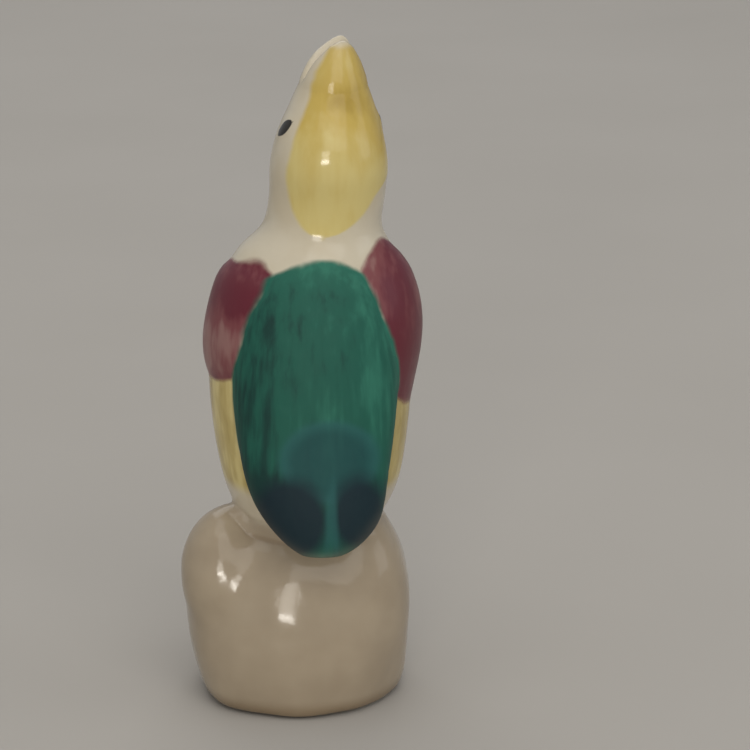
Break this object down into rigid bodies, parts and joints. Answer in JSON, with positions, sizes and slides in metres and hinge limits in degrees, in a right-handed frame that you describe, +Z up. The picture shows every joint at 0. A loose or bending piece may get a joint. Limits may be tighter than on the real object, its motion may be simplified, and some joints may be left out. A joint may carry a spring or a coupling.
{
  "type": "ceramic bird rattle",
  "caption": "Hollow glazed ceramic bird, beak raised, on a boulder; loose clay pellets inside rattle when it is shaken, and a cork closes the filling hole in its base.",
  "frame": {"origin": "centre of the foot ring's underside, on the surface that it stands on", "axes": "+Z up through the boulder and the bird, +Y the way that the bird faces, +X to the bird's right"},
  "size_m": [0.0363, 0.0339, 0.0993],
  "materials": {
    "cream_glaze": "gloss",
    "yellow_glaze": "gloss",
    "maroon_glaze": "gloss",
    "teal_glaze": "gloss",
    "black_glaze": "gloss",
    "bare_clay": "matte",
    "fired_clay": "matte",
    "cork": "matte"
  },
  "bodies": {
    "shell": {"boulder": "cream_glaze", "side_stone": "cream_glaze", "base_disc": "bare_clay", "torso": "yellow_glaze", "head_and_neck": "cream_glaze", "upper_beak": "yellow_glaze", "lower_beak": "yellow_glaze", "left_wing": "maroon_glaze", "right_wing": "maroon_glaze", "mantle": "teal_glaze", "tail": "teal_glaze", "left_foot": "yellow_glaze", "right_foot": "yellow_glaze", "left_eye": "black_glaze", "right_eye": "black_glaze"},
    "stopper": {"stopper": "cork"},
    "pellet_1": {"pellet_1": "fired_clay"},
    "pellet_2": {"pellet_2": "fired_clay"},
    "pellet_3": {"pellet_3": "fired_clay"},
    "pellet_4": {"pellet_4": "fired_clay"},
    "pellet_5": {"pellet_5": "fired_clay"},
    "pellet_6": {"pellet_6": "fired_clay"},
    "pellet_7": {"pellet_7": "fired_clay"},
    "pellet_8": {"pellet_8": "fired_clay"},
    "pellet_9": {"pellet_9": "fired_clay"}
  },
  "joints": [
    {"name": "stopper_pull", "type": "slide", "parent": "shell", "child": "stopper", "axis": [0, 0, -1], "range_m": [0, 0.02]},
    {"name": "pellet_1_hop", "type": "slide", "parent": "shell", "child": "pellet_1", "axis": [0, 0, 1], "range_m": [0, 0.014]},
    {"name": "pellet_2_hop", "type": "slide", "parent": "shell", "child": "pellet_2", "axis": [0, 0, 1], "range_m": [0, 0.014]},
    {"name": "pellet_3_hop", "type": "slide", "parent": "shell", "child": "pellet_3", "axis": [0, 0, 1], "range_m": [0, 0.014]},
    {"name": "pellet_4_hop", "type": "slide", "parent": "shell", "child": "pellet_4", "axis": [0, 0, 1], "range_m": [0, 0.014]},
    {"name": "pellet_5_hop", "type": "slide", "parent": "shell", "child": "pellet_5", "axis": [0, 0, 1], "range_m": [0, 0.014]},
    {"name": "pellet_6_hop", "type": "slide", "parent": "shell", "child": "pellet_6", "axis": [0, 0, 1], "range_m": [0, 0.014]},
    {"name": "pellet_7_hop", "type": "slide", "parent": "shell", "child": "pellet_7", "axis": [0, 0, 1], "range_m": [0, 0.014]},
    {"name": "pellet_8_hop", "type": "slide", "parent": "shell", "child": "pellet_8", "axis": [0, 0, 1], "range_m": [0, 0.014]},
    {"name": "pellet_9_hop", "type": "slide", "parent": "shell", "child": "pellet_9", "axis": [0, 0, 1], "range_m": [0, 0.014]}
  ]
}
